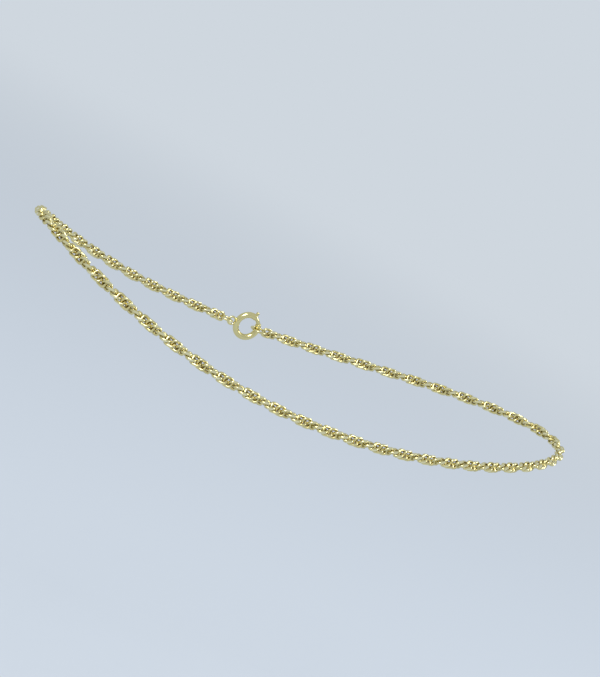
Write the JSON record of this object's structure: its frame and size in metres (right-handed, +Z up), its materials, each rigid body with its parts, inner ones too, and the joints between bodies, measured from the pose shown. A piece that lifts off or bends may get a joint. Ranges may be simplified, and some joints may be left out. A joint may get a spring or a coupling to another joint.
{
  "type": "chain anklet",
  "caption": "Fine gold twisted-curb (Singapore) chain anklet, a whole oval loop in the form it has round an ankle, closed by a spring-ring clasp and jump rings.",
  "frame": {"origin": "middle of the ankle opening, level with the loop's heel and instep ends", "axes": "+Z up the leg, +X to the heel, -X to the instep, clasp on the +Y side"},
  "size_m": [0.1078, 0.0506, 0.0117],
  "materials": {
    "chain_gold": "bright polished with diamond-cut facets",
    "clasp_gold": "bright polished",
    "ring_gold": "bright polished"
  },
  "bodies": {
    "root": {"chain": "chain_gold", "clasp": "clasp_gold", "eyelet_ring": "ring_gold", "catch_ring": "ring_gold"}
  },
  "joints": []
}
